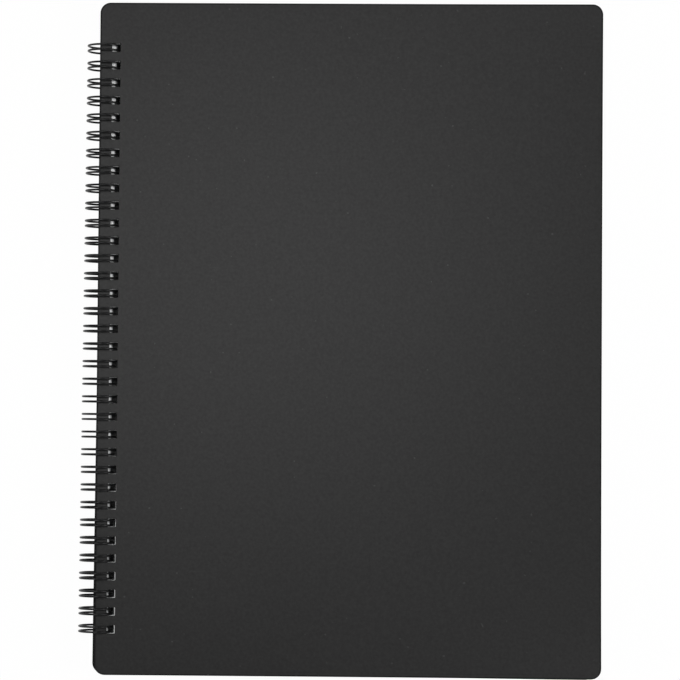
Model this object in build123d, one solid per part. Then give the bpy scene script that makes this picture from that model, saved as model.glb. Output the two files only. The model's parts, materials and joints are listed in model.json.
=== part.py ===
from build123d import *
import os
from math import atan, cos, degrees, dist, pi, radians, sin, sqrt

# A display book lying shut on its back: two plastic covers, a stack of clear pockets with a card in each,
# and one twin-loop wire that binds them. X runs from the spine to the fore edge, Y to the top, Z up.

# Covers, in millimetres
COVER_WIDTH = 242.0
COVER_HEIGHT = 323.0
COVER_THICKNESS = 0.6
COVER_CORNER_RADIUS = 5.0
COVER_MARGIN = 5.8  # left between the holes and the spine edge
COVER_GAP = 0.1  # between a cover and the nearest pocket
COVER_ASKEW = 0.85  # how far the front cover's end holes stand to one side
TURN_CLEARANCE = 0.55  # between the turned front cover and the back cover

# Binding wire
LOOP_COUNT = 34
LOOP_PITCH = 25.4 / 3
HOLE_SIZE = 4.0
WIRE_DIAMETER = 1.0
WIRE_PLAY = 0.275  # between a loop's outer side and the side of its hole
LOOP_SLACK = 5.0  # room inside the loops beyond the thickness of the stack
BEND_RADIUS = 1.2  # where a loop's legs turn into the base of the wire
BASE_ANGLE = -66.0  # where the base lies round the loop, from the fore edge upwards
SEAM_GAP = 0.7  # between the tips of the loops and the base
END_STUB = 1.2  # straight end of the wire before its first bend

# Pockets
POCKET_COUNT = 20
FILM_THICKNESS = 0.08
LEAF_GAP = 0.02  # between one pocket and the next
POCKET_MARGIN = 2.9  # left between the holes and the spine edge
STRIP_LAND = 4.0  # spine strip left between the holes and the films
WELD_WIDTH = 3.0
MOUTH_LIP = 8.0  # pocket standing above the card at the open top

# Card inserts
CARD_WIDTH = 210.0
CARD_HEIGHT = 297.0
CARD_THICKNESS = 0.2
CARD_FACE_PLAY = 0.02  # between a face of the card and the film
CARD_EDGE_PLAY = 3.0  # between a side of the card and the weld
CARD_FOOT_PLAY = 0.5  # between the foot of the card and the bottom weld

# Heights, measured from the middle of the loops
mouth_gap = CARD_THICKNESS + 2 * CARD_FACE_PLAY
pocket_thickness = mouth_gap + 2 * FILM_THICKNESS
leaf_pitch = pocket_thickness + LEAF_GAP
pocket_stack = POCKET_COUNT * leaf_pitch - LEAF_GAP
stack_thickness = pocket_stack + 2 * COVER_GAP + 2 * COVER_THICKNESS
stack_drop = (COVER_THICKNESS + TURN_CLEARANCE) / 2
stack_top = stack_thickness / 2 - stack_drop
front_cover_base = stack_top - COVER_THICKNESS
back_cover_base = stack_top - stack_thickness
pocket_top = front_cover_base - COVER_GAP

# Loops
ring_radius = (stack_thickness + LOOP_SLACK + WIRE_DIAMETER) / 2
leg_spacing = HOLE_SIZE - WIRE_DIAMETER - 2 * WIRE_PLAY
tip_radius = leg_spacing / 2
first_loop = -(LOOP_COUNT - 1) * LOOP_PITCH / 2
loop_places = [first_loop + place * LOOP_PITCH for place in range(LOOP_COUNT)]
leg_start = BASE_ANGLE + degrees(atan(BEND_RADIUS / ring_radius))
seam_turn = degrees((SEAM_GAP + WIRE_DIAMETER) / ring_radius)
leg_end = BASE_ANGLE + 360 - seam_turn - degrees(atan(tip_radius / ring_radius))


def ring_reach(height):
    """How far the loops stand out towards the fore edge at a height from their middle."""
    return sqrt(ring_radius**2 - height**2)


# Places across the book, measured from the middle of the loops
front_hole_x = ring_reach(front_cover_base + COVER_THICKNESS / 2)
back_hole_x = ring_reach(back_cover_base + COVER_THICKNESS / 2)
pocket_hole_x = (ring_radius + ring_reach(pocket_top - pocket_stack)) / 2
askew_angle = degrees(atan(COVER_ASKEW / loop_places[-1]))
strip_edge_x = pocket_hole_x - HOLE_SIZE / 2 - POCKET_MARGIN
film_edge_x = pocket_hole_x + HOLE_SIZE / 2 + STRIP_LAND
strip_width = film_edge_x + WELD_WIDTH - strip_edge_x
card_edge_x = film_edge_x + WELD_WIDTH + CARD_EDGE_PLAY
side_weld_x = card_edge_x + CARD_WIDTH + CARD_EDGE_PLAY
film_width = side_weld_x + WELD_WIDTH - film_edge_x
film_height = WELD_WIDTH + CARD_FOOT_PLAY + CARD_HEIGHT + MOUTH_LIP
pocket_foot_y = -film_height / 2


def block(x, y, z, width, height, thickness):
    """A flat block given by its lowest corner and its sizes."""
    corner = (Align.MIN, Align.MIN, Align.MIN)
    return Pos(x, y, z) * Box(width, height, thickness, align=corner)


def grouped(shapes):
    """Separate solids kept together as one shape."""
    return Compound([solid for shape in shapes for solid in shape.solids()])


def punches(x, z, thickness):
    """The row of square holes, as solids to cut away."""
    middle = z + thickness / 2
    deep = 2 * thickness
    return [Pos(x, y, middle) * Box(HOLE_SIZE, HOLE_SIZE, deep) for y in loop_places]


def cover(hole_x, base):
    """A punched sheet with rounded corners."""
    middle_x = hole_x - HOLE_SIZE / 2 - COVER_MARGIN + COVER_WIDTH / 2
    outline = RectangleRounded(COVER_WIDTH, COVER_HEIGHT, COVER_CORNER_RADIUS)
    sheet = Pos(middle_x, 0, base) * extrude(outline, COVER_THICKNESS)
    return sheet - punches(hole_x, base, COVER_THICKNESS)


def front_cover():
    """The top cover, lying slightly askew on the loops."""
    pivot = Axis((front_hole_x, 0, 0), (0, 0, 1))
    return cover(front_hole_x, front_cover_base).rotate(pivot, askew_angle)


def pocket_base(number):
    """Height of the underside of a pocket, counted from the top one down."""
    return pocket_top - (number - 1) * leaf_pitch - pocket_thickness


def pocket(number):
    """Two films held apart by a punched spine strip and two welds, open at the top."""
    base = pocket_base(number)
    inside = base + FILM_THICKNESS
    back_film = block(film_edge_x, pocket_foot_y, base, film_width, film_height, FILM_THICKNESS)
    front_film = Pos(0, 0, FILM_THICKNESS + mouth_gap) * back_film
    strip = block(strip_edge_x, pocket_foot_y, inside, strip_width, film_height, mouth_gap)
    strip -= punches(pocket_hole_x, inside, mouth_gap)
    side_weld = block(side_weld_x, pocket_foot_y, inside, WELD_WIDTH, film_height, mouth_gap)
    foot_x = strip_edge_x + strip_width
    foot_weld = block(foot_x, pocket_foot_y, inside, side_weld_x - foot_x, WELD_WIDTH, mouth_gap)
    return grouped([front_film, back_film, strip, side_weld, foot_weld])


def insert(number):
    """The card that slides out of a pocket's mouth."""
    base = pocket_base(number) + FILM_THICKNESS + CARD_FACE_PLAY
    foot_y = pocket_foot_y + WELD_WIDTH + CARD_FOOT_PLAY
    return block(card_edge_x, foot_y, base, CARD_WIDTH, CARD_HEIGHT, CARD_THICKNESS)


def on_ring(angle, y, ahead=0.0):
    """A point of the loop at an angle, or ahead of it along the loop's tangent."""
    x = ring_radius * cos(radians(angle)) - ahead * sin(radians(angle))
    z = ring_radius * sin(radians(angle)) + ahead * cos(radians(angle))
    return (x, y, z)


def leg(y, start, end):
    """Half-turn arcs of one leg of a loop, from one angle to another."""
    middle = (start + end) / 2
    arcs = []
    for low, high in ((start, middle), (middle, end)):
        arcs.append(ThreePointArc(on_ring(low, y), on_ring((low + high) / 2, y), on_ring(high, y)))
    return arcs


def loop(y):
    """One loop of the wire: a bend, a leg, the tip, the other leg and a bend."""
    lower = y - leg_spacing / 2
    upper = y + leg_spacing / 2
    short = BEND_RADIUS * (1 - cos(radians(45)))
    bend_in = ThreePointArc(
        on_ring(leg_start, lower - BEND_RADIUS, -BEND_RADIUS),
        on_ring(leg_start, lower - short, short - BEND_RADIUS),
        on_ring(leg_start, lower),
    )
    tip = ThreePointArc(on_ring(leg_end, lower), on_ring(leg_end, y, tip_radius), on_ring(leg_end, upper))
    bend_out = ThreePointArc(
        on_ring(leg_start, upper),
        on_ring(leg_start, upper + short, short - BEND_RADIUS),
        on_ring(leg_start, upper + BEND_RADIUS, -BEND_RADIUS),
    )
    return [bend_in, *leg(lower, leg_start, leg_end), tip, *leg(upper, leg_end, leg_start), bend_out]


def wire_route(places):
    """The middle line of the wire through the loops at these places, with a straight stub at each end."""
    reach = leg_spacing / 2 + BEND_RADIUS
    route = []
    start = on_ring(leg_start, places[0] - reach - END_STUB, -BEND_RADIUS)
    for y in places:
        route.append(Line(start, on_ring(leg_start, y - reach, -BEND_RADIUS)))
        route.extend(loop(y))
        start = on_ring(leg_start, y + reach, -BEND_RADIUS)
    route.append(Line(start, on_ring(leg_start, places[-1] + reach + END_STUB, -BEND_RADIUS)))
    return route


def sweep_wire(route):
    """A round wire along a route."""
    path = Wire([edge for piece in route for edge in piece.edges()])
    section = Plane(origin=path @ 0, z_dir=path % 0) * Circle(WIRE_DIAMETER / 2)
    return sweep(section, path=path)


def least_gap(route):
    """The least distance from the wire to itself, on points along a route."""
    step = WIRE_DIAMETER / 2
    apart = 4 * WIRE_DIAMETER
    points = []
    travelled = 0.0
    for piece in route:
        edge = piece.edges()[0]
        count = max(2, round(edge.length / step))
        for place in range(count):
            points.append((travelled + edge.length * place / count, tuple(edge @ (place / count))))
        travelled += edge.length
    pairs = ((a, b) for i, a in enumerate(points) for b in points[i + 1 :] if b[0] - a[0] > apart)
    return min(dist(a[1], b[1]) for a, b in pairs) - WIRE_DIAMETER


route = wire_route(loop_places)
wire = sweep_wire(route)
route_length = sum(piece.length for piece in route)
route_volume = route_length * pi * WIRE_DIAMETER**2 / 4
print("wire length", round(route_length, 1), "solid to route volume", round(wire.volume / route_volume, 5))
print("least gap in the wire", round(least_gap(wire_route(loop_places[:2])), 3))

back_cover = cover(back_hole_x, back_cover_base)
pieces = {"front_cover": front_cover(), "back_cover": back_cover, "binding_wire": wire}
for number in range(1, POCKET_COUNT + 1):
    pieces[f"pocket_{number:02d}"] = pocket(number)
    pieces[f"insert_{number:02d}"] = insert(number)

# The origin is under the middle of the book's box, at the foot of the loops
box = grouped(pieces.values()).bounding_box()
to_origin = Pos(-box.center().X, -box.center().Y, -box.min.Z)
loop_axis = to_origin.position
print("loop axis at", tuple(loop_axis), "box", tuple(box.size))

os.makedirs("parts", exist_ok=True)
for name, piece in pieces.items():
    export_step(to_origin * piece, f"parts/{name}.step")
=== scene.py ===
import json
import random
from math import atan, cos, pi, radians, sin, sqrt

import bmesh
import bpy
from bpy.props import FloatProperty, FloatVectorProperty, IntProperty, PointerProperty
from mathutils import Matrix, Vector


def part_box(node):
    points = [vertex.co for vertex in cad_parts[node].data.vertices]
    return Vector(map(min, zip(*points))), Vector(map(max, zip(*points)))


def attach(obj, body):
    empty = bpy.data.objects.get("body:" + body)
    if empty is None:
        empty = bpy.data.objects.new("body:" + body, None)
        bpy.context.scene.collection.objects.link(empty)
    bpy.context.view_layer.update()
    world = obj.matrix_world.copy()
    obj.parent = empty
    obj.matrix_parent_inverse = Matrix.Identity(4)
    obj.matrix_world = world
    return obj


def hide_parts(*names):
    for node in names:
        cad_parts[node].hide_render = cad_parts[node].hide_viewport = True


bl_info = {
    "name": "Display Book",
    "version": (1, 0, 0),
    "blender": (4, 5, 0),
    "location": "3D View > Sidebar > Display Book",
    "description": "A wire-bound display book with plastic covers, clear pockets and black cards",
    "category": "Object",
}

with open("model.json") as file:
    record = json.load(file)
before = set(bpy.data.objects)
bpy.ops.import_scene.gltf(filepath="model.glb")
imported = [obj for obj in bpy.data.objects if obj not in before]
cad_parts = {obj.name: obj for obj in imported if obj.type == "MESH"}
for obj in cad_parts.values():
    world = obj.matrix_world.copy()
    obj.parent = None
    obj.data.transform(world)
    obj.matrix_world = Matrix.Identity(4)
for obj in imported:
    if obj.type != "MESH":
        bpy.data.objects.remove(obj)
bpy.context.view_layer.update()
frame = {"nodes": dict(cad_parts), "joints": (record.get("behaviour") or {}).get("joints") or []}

MM = 0.001
JOINTS = {joint["name"]: joint for joint in frame["joints"]}
LOOP_AXIS = Vector(JOINTS["front_cover_turn"]["pos_m"])
FRONT_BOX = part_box("front_cover")
BACK_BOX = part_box("back_cover")
WIRE_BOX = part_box("binding_wire")
POCKETS = sorted(name for name in frame["nodes"] if name.startswith("pocket_"))
CARDS = sorted(name for name in frame["nodes"] if name.startswith("insert_"))
POCKET_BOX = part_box(POCKETS[0])
CARD_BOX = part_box(CARDS[0])

# Handle length of a quarter circle of radius 1 as one Bezier segment
QUARTER = 0.5523
# Edges that turn by more stay sharp, on flat pieces and on the round wire
FLAT_SHARP = radians(15)
ROUND_SHARP = radians(60)
# Faces that turn by less count as one flat face
FLAT_TURN = radians(0.5)
# Points nearer than these count as one, when parts are joined and when a cut sheet is cleaned
JOIN_GAP = 0.001 * MM
CLEAN_GAP = 0.01 * MM
# How fast the lift of a cover's corners fades along and across it
FADE_ALONG = 8
FADE_ACROSS = 3
# Steps round the wire's small bends and its large loops
BEND_STEP = radians(15)
LOOP_STEP = radians(5)
# Over which rise of a line of sight, 0 level and 1 straight up, the white backdrop fades into a dim ceiling
BACKDROP_FADE = (0.2, 0.4)


def length(name, default, description):
    """A length that the sidebar shows."""
    return FloatProperty(name=name, description=description, default=default, unit="LENGTH", precision=5)


def angle(name, default, description):
    """An angle that the sidebar shows."""
    return FloatProperty(name=name, description=description, default=default, subtype="ANGLE")


def amount(name, default, description, most=100.0):
    """A plain number that the sidebar shows."""
    return FloatProperty(name=name, description=description, default=default, min=0.0, max=most)


def location(name, default, description):
    """A place that the sidebar shows."""
    return FloatVectorProperty(name=name, description=description, default=default, subtype="TRANSLATION")


def colour(name, default, description):
    """A colour that the sidebar shows."""
    return FloatVectorProperty(
        name=name, description=description, default=default, size=4, min=0.0, max=1.0, subtype="COLOR"
    )


class DISPLAYBOOK_PG_sizes(bpy.types.PropertyGroup):
    """Sizes of the book's pieces."""

    cover_width: length("Cover width", 242 * MM, "From the spine edge to the fore edge")
    cover_height: length("Cover height", 323 * MM, "From the foot to the top")
    cover_thickness: length("Cover thickness", FRONT_BOX[1].z - FRONT_BOX[0].z, "Thickness of a cover sheet")
    cover_corner: length("Cover corner", 5 * MM, "Radius of a cover's corners")
    cover_margin: length("Cover margin", 5.8 * MM, "Sheet left between the holes and the spine edge")
    cover_edge: length("Cover edge", 0.16 * MM, "Rounding of a cover's cut edges")
    cover_askew: length("Cover askew", 0.85 * MM, "How far the front cover's end holes stand to one side")
    foot_curl: length("Foot curl", 3.5 * MM, "How far the front cover lifts at the fore corner by the foot")
    top_curl: length("Top curl", 1.8 * MM, "How far the front cover lifts at the fore corner by the top")
    hole_size: length("Hole size", 4 * MM, "Width of a punched hole")
    hole_corner: length("Hole corner", 0.35 * MM, "Radius of a hole's corners")
    loop_count: IntProperty(name="Loops", description="Number of twin loops", default=34, min=2)
    loop_pitch: length("Loop pitch", 25.4 * MM / 3, "From one twin loop to the next")
    wire_diameter: length("Wire diameter", 1 * MM, "Diameter of the coated wire")
    wire_play: length("Wire play", 0.275 * MM, "Between a loop's outer side and the side of its hole")
    wire_bend: length("Wire bend", 1.2 * MM, "Radius where a loop's legs turn into the base of the wire")
    wire_stub: length("Wire stub", 1.2 * MM, "Straight end of the wire before its first bend")
    base_angle: angle("Base angle", radians(-66), "Where the base lies round the loop, up from the fore edge")
    seam_gap: length("Seam gap", 0.7 * MM, "Between the tips of the loops and the base")
    film_thickness: length("Film thickness", 0.08 * MM, "Thickness of a pocket's film")
    film_corner: length("Film corner", 0.6 * MM, "Radius of the corners of films, strips and welds")
    strip_margin: length("Strip margin", 2.9 * MM, "Spine strip left between the holes and its edge")
    strip_land: length("Strip land", 4 * MM, "Spine strip left between the holes and the films")
    weld_width: length("Weld width", 3 * MM, "Width of a pocket's welded seams")
    card_corner: length("Card corner", 0.5 * MM, "Radius of a card's corners")
    leaf_play: length("Leaf play", 0.1 * MM, "How far one leaf may lie out of line with the next")
    sheet_grid: length("Sheet grid", 10 * MM, "Mesh size of a sheet that curls")


class DISPLAYBOOK_PG_colours(bpy.types.PropertyGroup):
    """Colours of the book's finishes."""

    cover: colour("Cover", (0.0112, 0.0112, 0.0111, 1.0), "Matte black plastic sheet")
    wire: colour("Wire", (0.0025, 0.0025, 0.0027, 1.0), "Gloss coating of the wire")
    film: colour("Film", (0.90, 0.92, 0.93, 1.0), "Clear film, where it mirrors or is hazy")
    frost: colour("Frosted plastic", (0.86, 0.87, 0.87, 1.0), "Spine strips and welded seams")
    card: colour("Card", (0.018, 0.018, 0.0185, 1.0), "Black card")
    floor: colour("Floor", (0.9, 0.9, 0.9, 1.0), "Studio floor")


class DISPLAYBOOK_PG_stage(bpy.types.PropertyGroup):
    """Floor, light and camera."""

    floor_reach: length("Floor reach", 4.0, "From the middle of the floor to its sides")
    white_share: amount("White share", 0.975, "Share of plain white in the floor that the eye sees", 1.0)
    world_light: amount("World light", 0.28, "Strength of the even light from all round")
    key_place: location("Key light", (-0.12, 0.127, 1.15), "Where the light above the book hangs")
    key_width: length("Key width", 0.52, "Width of the light above the book")
    key_depth: length("Key depth", 0.38, "Depth of the light above the book")
    key_power: amount("Key power", 6.5, "Power of the light above the book")
    fill_place: location("Fill light", (1.64, -0.2, 1.15), "Where the light beyond the fore edge hangs")
    fill_width: length("Fill width", 0.6, "Width and depth of the light beyond the fore edge")
    fill_power: amount("Fill power", 16.5, "Power of the light beyond the fore edge")
    camera_place: location("Camera", (0.01446, -0.04238, 1.25), "Where the camera hangs")
    camera_turn: FloatVectorProperty(
        name="Camera turn",
        description="Tilt of the camera from straight down",
        default=(radians(1.944), radians(0.7), radians(0.746)),
        subtype="EULER",
    )
    camera_lens: amount("Camera lens", 136.69, "Focal length in millimetres", 1000.0)
    camera_sensor: amount("Camera sensor", 36.0, "Width of the sensor in millimetres")


class Reading:
    """A number read from a node, which Python sums turn into Math nodes."""

    def __init__(self, finish, socket):
        self.finish = finish
        self.socket = socket

    def __add__(self, other):
        return self.finish.math("ADD", self, other)

    def __radd__(self, other):
        return self.finish.math("ADD", other, self)

    def __sub__(self, other):
        return self.finish.math("SUBTRACT", self, other)

    def __rsub__(self, other):
        return self.finish.math("SUBTRACT", other, self)

    def __mul__(self, other):
        return self.finish.math("MULTIPLY", self, other)

    def __rmul__(self, other):
        return self.finish.math("MULTIPLY", other, self)

    def __abs__(self):
        return self.finish.math("ABSOLUTE", self)

    def at_least(self, other):
        return self.finish.math("MAXIMUM", self, other)

    def at_most(self, other):
        return self.finish.math("MINIMUM", self, other)

    def root(self):
        return self.finish.math("SQRT", self)

    def ramp(self, low, high, start=0.0, end=1.0):
        """From start to end as this number goes smoothly from low to high."""
        return self.finish.add(
            "ShaderNodeMapRange",
            {"interpolation_type": "SMOOTHSTEP"},
            {"Value": self, "From Min": low, "From Max": high, "To Min": start, "To Max": end},
        )


class Finish:
    """A node tree of a material or of the world."""

    def __init__(self, owner):
        owner.use_nodes = True
        self.owner = owner
        self.tree = owner.node_tree
        self.tree.nodes.clear()

    def add(self, kind, settings=None, sockets=None, output=0):
        """Adds a node with its settings, then its sockets' values or links, and reads an output if any."""
        node = self.tree.nodes.new(kind)
        for name, value in (settings or {}).items():
            setattr(node, name, value)
        for name, value in (sockets or {}).items():
            if isinstance(value, Reading):
                self.tree.links.new(value.socket, node.inputs[name])
            else:
                node.inputs[name].default_value = value
        return Reading(self, node.outputs[output]) if node.outputs else None

    def math(self, operation, *values):
        return self.add("ShaderNodeMath", {"operation": operation}, dict(enumerate(values)))

    def blend(self, share, first, second):
        """A colour between two others."""
        return self.add("ShaderNodeMix", {"data_type": "RGBA"}, {0: share, 6: first, 7: second}, 2)

    def place(self):
        """Where a point lies on its own piece, in metres."""
        return self.add("ShaderNodeTexCoord", output="Object")

    def stretched(self, place, scale):
        """The place stretched by a scale along each axis."""
        return self.add("ShaderNodeVectorMath", {"operation": "MULTIPLY"}, {0: place, 1: scale})

    def noise(self, place, scale, detail=2.0, roughness=0.5):
        sockets = {"Vector": place, "Scale": scale, "Detail": detail, "Roughness": roughness}
        return self.add("ShaderNodeTexNoise", {}, sockets)

    def cells(self, place, scale):
        """Distance to the nearest of scattered points."""
        return self.add("ShaderNodeTexVoronoi", {}, {"Vector": place, "Scale": scale})

    def bump(self, height, depth, strength):
        return self.add("ShaderNodeBump", {}, {"Height": height, "Distance": depth, "Strength": strength})

    def across(self, place):
        """The three coordinates of a place."""
        return [self.add("ShaderNodeSeparateXYZ", {}, {"Vector": place}, axis) for axis in range(3)]

    def principled(self, **sockets):
        """A Principled shader, its sockets named with underscores for spaces."""
        named = {name.replace("_", " "): value for name, value in sockets.items()}
        return self.add("ShaderNodeBsdfPrincipled", {}, named)

    def surface(self, shader, kind="ShaderNodeOutputMaterial"):
        """Ends the tree with a shader, and gives the material or world."""
        self.add(kind, {}, {"Surface": shader})
        return self.owner


def new_finish(name):
    """An empty material ready for its nodes."""
    return Finish(bpy.data.materials.new(name))


def shaded(tone, factor):
    """A colour made lighter or darker."""
    return (*(channel * factor for channel in tone[:3]), 1.0)


def rim_share(finish, place, sizes, width):
    """1 at the cut edge of a cover, falling to 0 a width inside it."""
    across, along, _ = finish.across(place)
    out_x = abs(across) - (sizes.cover_width / 2 - sizes.cover_corner)
    out_y = abs(along) - (sizes.cover_height / 2 - sizes.cover_corner)
    past_x, past_y = out_x.at_least(0.0), out_y.at_least(0.0)
    from_edge = (past_x * past_x + past_y * past_y).root() + out_x.at_least(out_y).at_most(0.0)
    return (from_edge - sizes.cover_corner).ramp(-width, 0.0)


def cover_finish(name, sizes, tone):
    """Matte black plastic sheet with a fine moulded grain, faint clouding, a few specks, and a rougher cut
    edge whose colour is painted dark as shade.
    """
    finish = new_finish(name)
    place = finish.place()
    grain = finish.noise(place, 720.0, 3.0, 0.6)
    pebble = finish.cells(place, 1500.0)
    cloud = finish.noise(place, 11.0, 3.0, 0.55)
    speck = finish.noise(place, 520.0, 0.0).ramp(0.83, 0.88)
    scuff = finish.noise(finish.stretched(place, (35.0, 900.0, 35.0)), 1.0, 1.0).ramp(0.70, 0.86)
    rim_shade_and_rough = rim_share(finish, place, sizes, 1.1 * MM)
    mottle = (cloud - 0.5) * 0.4 + (grain - 0.5) * 1.3 + 0.5
    plain = finish.blend(mottle, shaded(tone, 0.5), shaded(tone, 1.5))
    marked = finish.blend(speck * 0.5 + scuff * 0.10, plain, shaded(tone, 4.0))
    # Painted shade: the colour darkens to near black along the cut edge, where the roughness also rises.
    rim_shaded = finish.blend(rim_shade_and_rough * 0.9, marked, shaded(tone, 0.1))
    shader = finish.principled(
        Base_Color=rim_shaded,
        Roughness=0.43 + (cloud - 0.5) * 0.04 - (grain - 0.5) * 0.055 - scuff * 0.03 + rim_shade_and_rough * 0.4,
        IOR=1.49,
        Specular_IOR_Level=0.16,
        Normal=finish.bump(pebble * 0.5 + grain * 0.5, 0.04 * MM, 0.35),
    )
    return finish.surface(shader)


def wire_finish(name, tone):
    """Gloss black nylon coating with slight waves and dull rubs."""
    finish = new_finish(name)
    place = finish.place()
    wave = finish.noise(place, 420.0, 2.0)
    rub = finish.noise(place, 90.0, 3.0, 0.6).ramp(0.55, 0.75)
    shader = finish.principled(
        Base_Color=finish.blend(rub * 0.6, tone, shaded(tone, 2.2)),
        Roughness=0.32 + rub * 0.16 + (wave - 0.5) * 0.08,
        IOR=1.5,
        Specular_IOR_Level=0.26,
        Normal=finish.bump(wave, 0.03 * MM, 0.25),
    )
    return finish.surface(shader)


def film_finish(name, tone):
    """Clear glossy film: it mirrors more as the eye nears its plane, with faint haze, rubs and ripples."""
    finish = new_finish(name)
    place = finish.place()
    ripple = finish.noise(place, 22.0, 2.0, 0.45)
    haze = finish.noise(place, 60.0, 3.0, 0.6).ramp(0.45, 0.80)
    scratch = finish.noise(finish.stretched(place, (700.0, 24.0, 24.0)), 1.0, 2.0).ramp(0.68, 0.80)
    slant = finish.add("ShaderNodeLayerWeight", {}, {"Blend": 0.5}, "Facing")
    mirror = finish.math("POWER", slant, 5.0) * 0.9 + 0.04
    glossy = finish.principled(
        Base_Color=tone,
        Metallic=0.7,
        Roughness=0.07 + haze * 0.10 + scratch * 0.12,
        IOR=1.49,
        Normal=finish.bump(ripple, 0.5 * MM, 0.15),
    )
    share = (mirror + haze * 0.02 + scratch * 0.03).at_most(1.0)
    clear = finish.add("ShaderNodeBsdfTransparent", {}, {"Color": (0.985, 0.988, 0.99, 1.0)})
    return finish.surface(finish.add("ShaderNodeMixShader", {}, {0: share, 1: clear, 2: glossy}))


def frost_finish(name, tone):
    """Frosted plastic of the strips and welds, with fine ribs from welding and a tone for each leaf."""
    finish = new_finish(name)
    place = finish.place()
    across, along, _ = finish.across(place)
    ribs = finish.math("SINE", (across + along) * (2 * pi / (0.9 * MM)))
    grain = finish.noise(place, 800.0, 3.0, 0.6)
    cloud = finish.noise(place, 70.0, 2.0)
    leaf = finish.add("ShaderNodeObjectInfo", output="Random")
    mottled = finish.blend(cloud * 0.6 + (grain - 0.5) * 0.5, shaded(tone, 0.9), shaded(tone, 1.08))
    shader = finish.principled(
        Base_Color=finish.blend(leaf * 0.7, mottled, shaded(tone, 0.45)),
        Roughness=0.38 + (grain - 0.5) * 0.2,
        IOR=1.49,
        Alpha=0.93,
        Normal=finish.bump(ribs * 0.35 + grain, 0.05 * MM, 0.4),
    )
    return finish.surface(shader)


def card_finish(name, tone):
    """Uncoated black card with paper fibres and a soft mottle."""
    finish = new_finish(name)
    place = finish.place()
    fibre = finish.noise(finish.stretched(place, (900.0, 260.0, 900.0)), 1.0, 3.0, 0.65)
    cross_fibre = finish.noise(finish.stretched(place, (240.0, 800.0, 800.0)), 1.0, 3.0, 0.65)
    mottle = finish.noise(place, 45.0, 2.0)
    weave = fibre * 0.5 + cross_fibre * 0.5
    shader = finish.principled(
        Base_Color=finish.blend(weave * 0.8 + (mottle - 0.5) * 0.25, shaded(tone, 0.6), shaded(tone, 1.6)),
        Roughness=0.86 + (weave - 0.5) * 0.2,
        IOR=1.45,
        Normal=finish.bump(weave, 0.06 * MM, 0.3),
    )
    return finish.surface(shader)


def floor_finish(name, tone, white_share, under):
    """Pale floor that the eye and mirrors see nearly white, with its colour painted dark under the book as
    shade.
    """
    finish = new_finish(name)
    place = finish.place()
    grain = finish.noise(place, 30.0, 2.0)
    outside_painted_shade = outside(finish, place, under)
    pale = finish.blend(grain, shaded(tone, 0.99), shaded(tone, 1.01))
    # Painted shade: the floor's colour is near black under the book and pale outside it.
    painted = finish.principled(Base_Color=finish.blend(outside_painted_shade, shaded(tone, 0.1), pale), Roughness=0.9)
    white = finish.add("ShaderNodeEmission", {}, {"Color": (1.0, 1.0, 1.0, 1.0), "Strength": 1.0})
    seen = seen_share(finish) * white_share * outside_painted_shade
    return finish.surface(finish.add("ShaderNodeMixShader", {}, {0: seen, 1: painted, 2: white}))


def outside(finish, place, box):
    """1 outside a box on the floor, falling to 0 a little way inside it."""
    middle, half = middle_of(box), (box[1] - box[0]) / 2
    across, along, _ = finish.across(place)
    past = (abs(across - middle.x) - half.x).at_least(abs(along - middle.y) - half.y)
    return past.ramp(-3 * MM, -1 * MM)


def seen_share(finish):
    """1 for what the eye sees straight, in a mirror or through glass, and 0 for light on the book."""
    rays = [
        finish.add("ShaderNodeLightPath", output=name)
        for name in ("Is Camera Ray", "Is Glossy Ray", "Is Transmission Ray")
    ]
    return (rays[0] + rays[1] + rays[2]).at_most(1.0)


def add_outline(drawing, centre, width, height, radius, resolution):
    """Adds a closed rectangle with rounded corners to a flat curve."""
    spline = drawing.splines.new("BEZIER")
    spline.bezier_points.add(7)
    spline.use_cyclic_u = True
    spline.resolution_u = resolution
    pull = QUARTER * radius
    for corner, (side_x, side_y) in enumerate(((1, -1), (1, 1), (-1, 1), (-1, -1))):
        out_x, out_y = side_x * (width / 2 - radius), side_y * (height / 2 - radius)
        middle = Vector((centre[0] + out_x, centre[1] + out_y, 0))
        for end in (0, 1):
            turn = (corner - 1 + end) * pi / 2
            ahead = Vector((-sin(turn), cos(turn), 0))
            point = spline.bezier_points[2 * corner + end]
            point.handle_left_type = point.handle_right_type = "FREE"
            point.co = middle + radius * Vector((cos(turn), sin(turn), 0))
            point.handle_left = point.co - pull * ahead
            point.handle_right = point.co + pull * ahead


def mesh_of(drawing):
    """The mesh of a curve, with its parts joined."""
    shape = bpy.data.objects.new("drawing", drawing)
    bpy.context.collection.objects.link(shape)
    bpy.context.view_layer.update()
    mesh = bpy.data.meshes.new_from_object(shape.evaluated_get(bpy.context.evaluated_depsgraph_get()))
    bpy.data.objects.remove(shape)
    bpy.data.curves.remove(drawing)
    mesh.materials.clear()
    return mesh


def sheet_mesh(width, height, thickness, radius, edge, holes=(), hole_size=0.0, hole_corner=0.0):
    """A flat sheet round the origin with rounded corners, softened edges and square holes."""
    drawing = bpy.data.curves.new("sheet", "CURVE")
    drawing.dimensions = "2D"
    drawing.fill_mode = "BOTH"
    drawing.extrude = thickness / 2 - edge
    drawing.bevel_depth = edge
    drawing.bevel_resolution = 1
    drawing.offset = -edge
    add_outline(drawing, (0, 0), width, height, radius, 10)
    for centre in holes:
        add_outline(drawing, centre, hole_size, hole_size, hole_corner, 3)
    mesh = mesh_of(drawing)
    weld(mesh)
    return mesh


def weld(mesh):
    """Joins points that lie together."""
    work = bmesh.new()
    work.from_mesh(mesh)
    bmesh.ops.remove_doubles(work, verts=work.verts, dist=JOIN_GAP)
    work.to_mesh(mesh)
    work.free()


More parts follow.
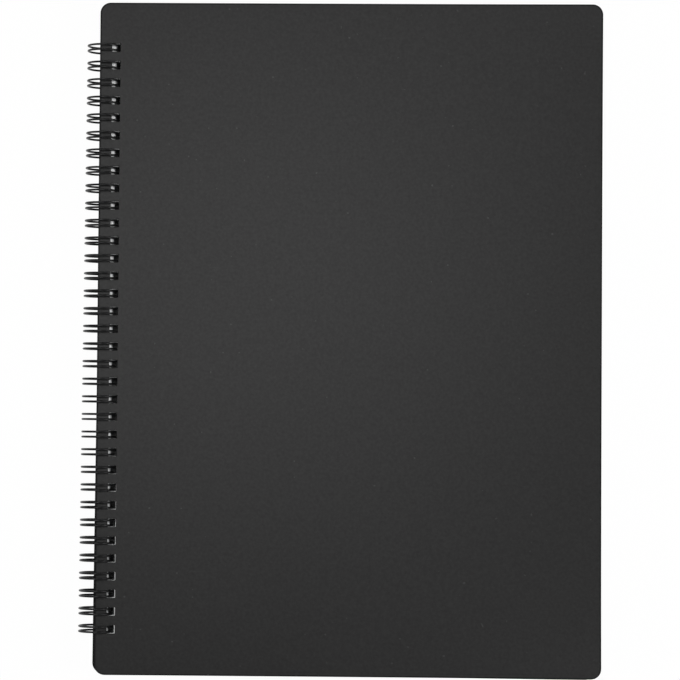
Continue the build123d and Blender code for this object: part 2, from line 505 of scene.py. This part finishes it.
def cut_grid(mesh, width, height, step):
    """Cuts a sheet into a grid, so that it can bend, and clears all other edges from its flat faces."""
    work = bmesh.new()
    work.from_mesh(mesh)
    for span, axis in ((width, Vector((1, 0, 0))), (height, Vector((0, 1, 0)))):
        count = round(span / step)
        for line in range(1, count):
            place = axis * (span * line / count - span / 2)
            every = work.verts[:] + work.edges[:] + work.faces[:]
            cut = bmesh.ops.bisect_plane(work, geom=every, plane_co=place, plane_no=axis, dist=JOIN_GAP)
            for edge in cut["geom_cut"]:
                if isinstance(edge, bmesh.types.BMEdge):
                    edge.seam = True
    bmesh.ops.remove_doubles(work, verts=work.verts, dist=CLEAN_GAP)
    bmesh.ops.dissolve_degenerate(work, edges=work.edges, dist=CLEAN_GAP)
    bmesh.ops.dissolve_limit(
        work, angle_limit=FLAT_TURN, verts=work.verts, edges=work.edges, delimit={"SEAM"}
    )
    work.to_mesh(mesh)
    work.free()


def smooth(mesh, sharp=FLAT_SHARP):
    """Smooth faces, with edges that turn by more than an angle left sharp."""
    mesh.polygons.foreach_set("use_smooth", [True] * len(mesh.polygons))
    mesh.set_sharp_from_angle(angle=sharp)


def joined(name, parts):
    """One mesh made of (mesh, offset, material place) parts."""
    work = bmesh.new()
    for mesh, offset, slot in parts:
        mesh.transform(Matrix.Translation(offset))
        before = len(work.faces)
        work.from_mesh(mesh)
        work.faces.ensure_lookup_table()
        for face in work.faces[before:]:
            face.material_index = slot
        bpy.data.meshes.remove(mesh)
    whole = bpy.data.meshes.new(name)
    work.to_mesh(whole)
    work.free()
    return whole


def add_piece(name, mesh, body, nodes, matrix=None):
    """Puts a mesh in place as a piece that rides on a body and stands for its CAD nodes."""
    piece = bpy.data.objects.new(name, mesh)
    bpy.context.collection.objects.link(piece)
    if matrix is not None:
        piece.matrix_world = matrix
    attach(piece, body)
    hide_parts(*nodes)
    return piece


def loop_places(sizes):
    """The twin loops' places along the spine, from their middle."""
    first = -(sizes.loop_count - 1) * sizes.loop_pitch / 2
    return [first + place * sizes.loop_pitch for place in range(sizes.loop_count)]


def hole_row(sizes, across):
    """Middles of the square holes in a sheet."""
    return [(across, along) for along in loop_places(sizes)]


def askew_angle(sizes, shift):
    """The turn that shifts the end holes of a row sideways."""
    return atan(shift / loop_places(sizes)[-1])


def middle_of(box):
    return (box[0] + box[1]) / 2


def cover_mesh(sizes):
    """A punched cover sheet round the origin."""
    across = -sizes.cover_width / 2 + sizes.cover_margin + sizes.hole_size / 2
    mesh = sheet_mesh(
        sizes.cover_width,
        sizes.cover_height,
        sizes.cover_thickness,
        sizes.cover_corner,
        sizes.cover_edge,
        hole_row(sizes, across),
        sizes.hole_size,
        sizes.hole_corner,
    )
    cut_grid(mesh, sizes.cover_width, sizes.cover_height, sizes.sheet_grid)
    return mesh


def curl(mesh, sizes):
    """Lifts a sheet's corners at the fore edge."""
    for vertex in mesh.vertices:
        out = max(0.0, vertex.co.x / sizes.cover_width + 0.5)
        up = max(0.0, vertex.co.y / sizes.cover_height + 0.5)
        fore = sizes.foot_curl * (1 - up) ** FADE_ALONG + sizes.top_curl * up**FADE_ALONG
        vertex.co.z += fore * out**FADE_ACROSS


class DISPLAYBOOK_OT_covers(bpy.types.Operator):
    """Build the front and back covers."""

    bl_idname = "displaybook.covers"
    bl_label = "Covers"

    def execute(self, context):
        sizes = context.scene.displaybook_sizes
        tone = context.scene.displaybook_colours.cover
        finish = cover_finish("cover_sheet", sizes, tone)
        turn = Matrix.Rotation(askew_angle(sizes, sizes.cover_askew), 4, "Z")
        covers = (
            ("front_cover", "front_cover", FRONT_BOX, turn, True),
            ("back_cover", "back_and_wire", BACK_BOX, Matrix.Identity(4), False),
        )
        for node, body, box, turned, curled in covers:
            mesh = cover_mesh(sizes)
            if curled:
                curl(mesh, sizes)
            smooth(mesh)
            mesh.materials.append(finish)
            matrix = Matrix.Translation(middle_of(box)) @ turned
            add_piece(node + "_sheet", mesh, body, [node], matrix)
        return {"FINISHED"}


def arc(start, end, step):
    """Angles from start to end in even steps, the first left out."""
    count = max(2, round(abs(end - start) / step))
    return [start + (end - start) * place / count for place in range(1, count + 1)]


def ring_radius(sizes):
    """Radius of the loops, to the middle of the wire."""
    return (WIRE_BOX[1].z - WIRE_BOX[0].z - sizes.wire_diameter) / 2


def wire_route(sizes):
    """The middle line of the twin-loop wire, from the middle of the loops."""
    radius = ring_radius(sizes)
    bend = sizes.wire_bend
    half = (sizes.hole_size - sizes.wire_diameter) / 2 - sizes.wire_play
    leg_start = sizes.base_angle + atan(bend / radius)
    seam = (sizes.seam_gap + sizes.wire_diameter) / radius
    leg_end = sizes.base_angle + 2 * pi - seam - atan(half / radius)

    def on_ring(turn, along, ahead=0.0):
        return Vector((radius * cos(turn) - ahead * sin(turn), along, radius * sin(turn) + ahead * cos(turn)))

    def bent(along, turns):
        return [on_ring(leg_start, along + bend * cos(a), bend * sin(a)) for a in turns]

    places = loop_places(sizes)
    route = [on_ring(leg_start, places[0] - half - bend - sizes.wire_stub, -bend)]
    for along in places:
        lower, upper = along - half, along + half
        route.append(on_ring(leg_start, lower - bend, -bend))
        route += bent(lower - bend, arc(-pi / 2, 0, BEND_STEP))
        route += [on_ring(a, lower) for a in arc(leg_start, leg_end, LOOP_STEP)]
        route += [on_ring(leg_end, along + half * cos(a), half * sin(a)) for a in arc(pi, 0, BEND_STEP)]
        route += [on_ring(a, upper) for a in arc(leg_end, leg_start, LOOP_STEP)]
        route += bent(upper + bend, arc(pi, 1.5 * pi, BEND_STEP))
    route.append(on_ring(leg_start, places[-1] + half + bend + sizes.wire_stub, -bend))
    return route


class DISPLAYBOOK_OT_wire(bpy.types.Operator):
    """Build the twin-loop binding wire."""

    bl_idname = "displaybook.wire"
    bl_label = "Binding wire"

    def execute(self, context):
        sizes = context.scene.displaybook_sizes
        route = wire_route(sizes)
        drawing = bpy.data.curves.new("wire", "CURVE")
        drawing.dimensions = "3D"
        drawing.bevel_depth = sizes.wire_diameter / 2
        drawing.bevel_resolution = 3
        drawing.use_fill_caps = True
        spline = drawing.splines.new("POLY")
        spline.points.add(len(route) - 1)
        for point, place in zip(spline.points, route):
            point.co = (*place, 1.0)
        mesh = mesh_of(drawing)
        weld(mesh)
        smooth(mesh, ROUND_SHARP)
        mesh.materials.append(wire_finish("coated_wire", context.scene.displaybook_colours.wire))
        matrix = Matrix.Translation(LOOP_AXIS)
        add_piece("twin_loop_wire", mesh, "back_and_wire", ["binding_wire"], matrix)
        return {"FINISHED"}


def pocket_hole(sizes):
    """How far across the middles of a pocket's holes lie in the CAD."""
    return POCKET_BOX[0].x + sizes.strip_margin + sizes.hole_size / 2


def leaf_places(sizes):
    """Where each leaf's middle hole lies: fanned out along the round of the loops, slightly out of line."""
    draw = random.Random(7)
    turn = askew_angle(sizes, sizes.leaf_play)
    spine = pocket_hole(sizes)
    places = []
    for name in POCKETS:
        height = middle_of(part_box(name)).z
        on_wire = LOOP_AXIS.x + sqrt(ring_radius(sizes) ** 2 - (height - LOOP_AXIS.z) ** 2)
        across = max(spine, on_wire) + draw.uniform(-sizes.leaf_play, sizes.leaf_play)
        along = LOOP_AXIS.y + draw.uniform(-sizes.leaf_play, sizes.leaf_play)
        slant = Matrix.Rotation(turn * draw.uniform(-1, 1), 4, "Z")
        places.append(Matrix.Translation((across, along, height)) @ slant)
    return places


def pocket_mesh(sizes):
    """A clear pocket round its middle hole: two films, a punched strip and two welds, open at the top."""
    low, high = POCKET_BOX
    height, thickness = high.y - low.y, high.z - low.z
    film, weld_width = sizes.film_thickness, sizes.weld_width
    gap = thickness - 2 * film
    strip_low = -sizes.strip_margin - sizes.hole_size / 2
    film_low = sizes.hole_size / 2 + sizes.strip_land
    film_high = high.x - low.x + strip_low
    strip_width = film_low + weld_width - strip_low
    middle_y = middle_of(POCKET_BOX).y - LOOP_AXIS.y
    edge, corner = film / 4, sizes.film_corner
    parts = []
    for side in (-1, 1):
        offset = Vector(((film_low + film_high) / 2, middle_y, side * (gap + film) / 2))
        parts.append((sheet_mesh(film_high - film_low, height, film, corner, edge), offset, 0))
    strip_middle = strip_low + strip_width / 2
    holes = [(across - strip_middle, along - middle_y) for across, along in hole_row(sizes, 0.0)]
    strip = sheet_mesh(strip_width, height, gap, corner, edge, holes, sizes.hole_size, sizes.hole_corner)
    parts.append((strip, Vector((strip_middle, middle_y, 0)), 1))
    side_weld = sheet_mesh(weld_width, height, gap, corner, edge)
    parts.append((side_weld, Vector((film_high - weld_width / 2, middle_y, 0)), 1))
    foot_low, foot_high = strip_low + strip_width, film_high - weld_width
    foot_weld = sheet_mesh(foot_high - foot_low, weld_width, gap, edge, edge / 2)
    foot_y = middle_y - (height - weld_width) / 2
    parts.append((foot_weld, Vector(((foot_low + foot_high) / 2, foot_y, 0)), 1))
    return joined("pocket", parts)


class DISPLAYBOOK_OT_pockets(bpy.types.Operator):
    """Build the clear pockets."""

    bl_idname = "displaybook.pockets"
    bl_label = "Pockets"

    def execute(self, context):
        sizes = context.scene.displaybook_sizes
        tones = context.scene.displaybook_colours
        mesh = pocket_mesh(sizes)
        smooth(mesh)
        mesh.materials.append(film_finish("clear_film", tones.film))
        mesh.materials.append(frost_finish("frosted_plastic", tones.frost))
        for name, place in zip(POCKETS, leaf_places(sizes)):
            add_piece(name + "_sleeve", mesh, name, [name], place)
        return {"FINISHED"}


class DISPLAYBOOK_OT_cards(bpy.types.Operator):
    """Build the card in each pocket."""

    bl_idname = "displaybook.cards"
    bl_label = "Cards"

    def execute(self, context):
        sizes = context.scene.displaybook_sizes
        size = CARD_BOX[1] - CARD_BOX[0]
        mesh = sheet_mesh(size.x, size.y, size.z, sizes.card_corner, size.z / 5)
        smooth(mesh)
        mesh.materials.append(card_finish("card", context.scene.displaybook_colours.card))
        in_pocket = middle_of(CARD_BOX) - Vector((pocket_hole(sizes), LOOP_AXIS.y, 0))
        in_pocket.z = 0
        for name, place in zip(CARDS, leaf_places(sizes)):
            add_piece(name + "_card", mesh, name, [name], place @ Matrix.Translation(in_pocket))
        return {"FINISHED"}


def add_light(name, place, aim, width, depth, power):
    """A soft box that faces a point."""
    lamp = bpy.data.lights.new(name, "AREA")
    lamp.shape = "RECTANGLE"
    lamp.size = width
    lamp.size_y = depth
    lamp.energy = power
    light = bpy.data.objects.new(name, lamp)
    light.location = place
    light.rotation_euler = (aim - place).to_track_quat("-Z", "Y").to_euler()
    bpy.context.collection.objects.link(light)


def add_floor(tone, reach, white_share):
    """A wide floor that touches the loops and the fore edge of the back cover."""
    rise = BACK_BOX[0].z - WIRE_BOX[0].z
    slope = atan(rise / (BACK_BOX[1].x - LOOP_AXIS.x))
    mesh = bpy.data.meshes.new("floor")
    corners = [(x * reach, y * reach, 0) for x, y in ((-1, -1), (1, -1), (1, 1), (-1, 1))]
    mesh.from_pydata(corners, [], [(0, 1, 2, 3)])
    shift = Vector((LOOP_AXIS.x, 0, 0))
    under = (BACK_BOX[0] - shift, BACK_BOX[1] - shift)
    mesh.materials.append(floor_finish("floor", tone, white_share, under))
    floor = bpy.data.objects.new("floor", mesh)
    floor.location = (LOOP_AXIS.x, 0, WIRE_BOX[0].z)
    floor.rotation_euler = (0, -slope, 0)
    bpy.context.collection.objects.link(floor)


def light_world(strength):
    """Even light from all round, with a white backdrop that the eye and mirrors see behind the floor."""
    finish = Finish(bpy.context.scene.world or bpy.data.worlds.new("studio"))
    bpy.context.scene.world = finish.owner
    _, _, up = finish.across(finish.add("ShaderNodeTexCoord", output="Generated"))
    backdrop = up.ramp(*BACKDROP_FADE, 1.0, 0.0)
    dim = finish.add("ShaderNodeBackground", {}, {"Color": (1.0, 1.0, 1.0, 1.0), "Strength": strength})
    white = finish.add("ShaderNodeBackground", {}, {"Color": (1.0, 1.0, 1.0, 1.0), "Strength": 1.0})
    seen = finish.add("ShaderNodeMixShader", {}, {0: seen_share(finish) * backdrop, 1: dim, 2: white})
    finish.surface(seen, "ShaderNodeOutputWorld")


def add_camera(stage):
    """The camera of the main view."""
    lens = bpy.data.cameras.new("camera")
    lens.lens = stage.camera_lens
    lens.sensor_width = stage.camera_sensor
    camera = bpy.data.objects.new("camera", lens)
    camera.location = stage.camera_place
    camera.rotation_euler = stage.camera_turn
    bpy.context.collection.objects.link(camera)
    return camera


class DISPLAYBOOK_OT_stage(bpy.types.Operator):
    """Set up the floor, the lights and the camera."""

    bl_idname = "displaybook.stage"
    bl_label = "Stage"

    def execute(self, context):
        scene = context.scene
        stage = scene.displaybook_stage
        scene.view_settings.view_transform = "Standard"
        add_floor(scene.displaybook_colours.floor, stage.floor_reach, stage.white_share)
        light_world(stage.world_light)
        key, fill = Vector(stage.key_place), Vector(stage.fill_place)
        below = Vector((key.x, key.y, 0))
        add_light("key_light", key, below, stage.key_width, stage.key_depth, stage.key_power)
        add_light("fill_light", fill, Vector(), stage.fill_width, stage.fill_width, stage.fill_power)
        scene.camera = add_camera(stage)
        return {"FINISHED"}


class DISPLAYBOOK_PT_panel(bpy.types.Panel):
    """The display book's sizes, colours, stage and build steps."""

    bl_idname = "DISPLAYBOOK_PT_panel"
    bl_label = "Display Book"
    bl_space_type = "VIEW_3D"
    bl_region_type = "UI"
    bl_category = "Display Book"

    def draw(self, context):
        scene = context.scene
        for group in (scene.displaybook_sizes, scene.displaybook_colours, scene.displaybook_stage):
            box = self.layout.box()
            for name in group.__annotations__:
                box.prop(group, name)
        for operator in OPERATORS:
            self.layout.operator(operator.bl_idname)


OPERATORS = (
    DISPLAYBOOK_OT_covers,
    DISPLAYBOOK_OT_wire,
    DISPLAYBOOK_OT_pockets,
    DISPLAYBOOK_OT_cards,
    DISPLAYBOOK_OT_stage,
)
GROUPS = (DISPLAYBOOK_PG_sizes, DISPLAYBOOK_PG_colours, DISPLAYBOOK_PG_stage)
CLASSES = (*GROUPS, *OPERATORS, DISPLAYBOOK_PT_panel)


def register():
    for each in CLASSES:
        bpy.utils.register_class(each)
    bpy.types.Scene.displaybook_sizes = PointerProperty(type=DISPLAYBOOK_PG_sizes)
    bpy.types.Scene.displaybook_colours = PointerProperty(type=DISPLAYBOOK_PG_colours)
    bpy.types.Scene.displaybook_stage = PointerProperty(type=DISPLAYBOOK_PG_stage)


def unregister():
    del bpy.types.Scene.displaybook_stage
    del bpy.types.Scene.displaybook_colours
    del bpy.types.Scene.displaybook_sizes
    for each in reversed(CLASSES):
        bpy.utils.unregister_class(each)


def main():
    register()
    bpy.ops.displaybook.covers()
    bpy.ops.displaybook.wire()
    bpy.ops.displaybook.pockets()
    bpy.ops.displaybook.cards()
    bpy.ops.displaybook.stage()


if __name__ == "__main__":
    main()
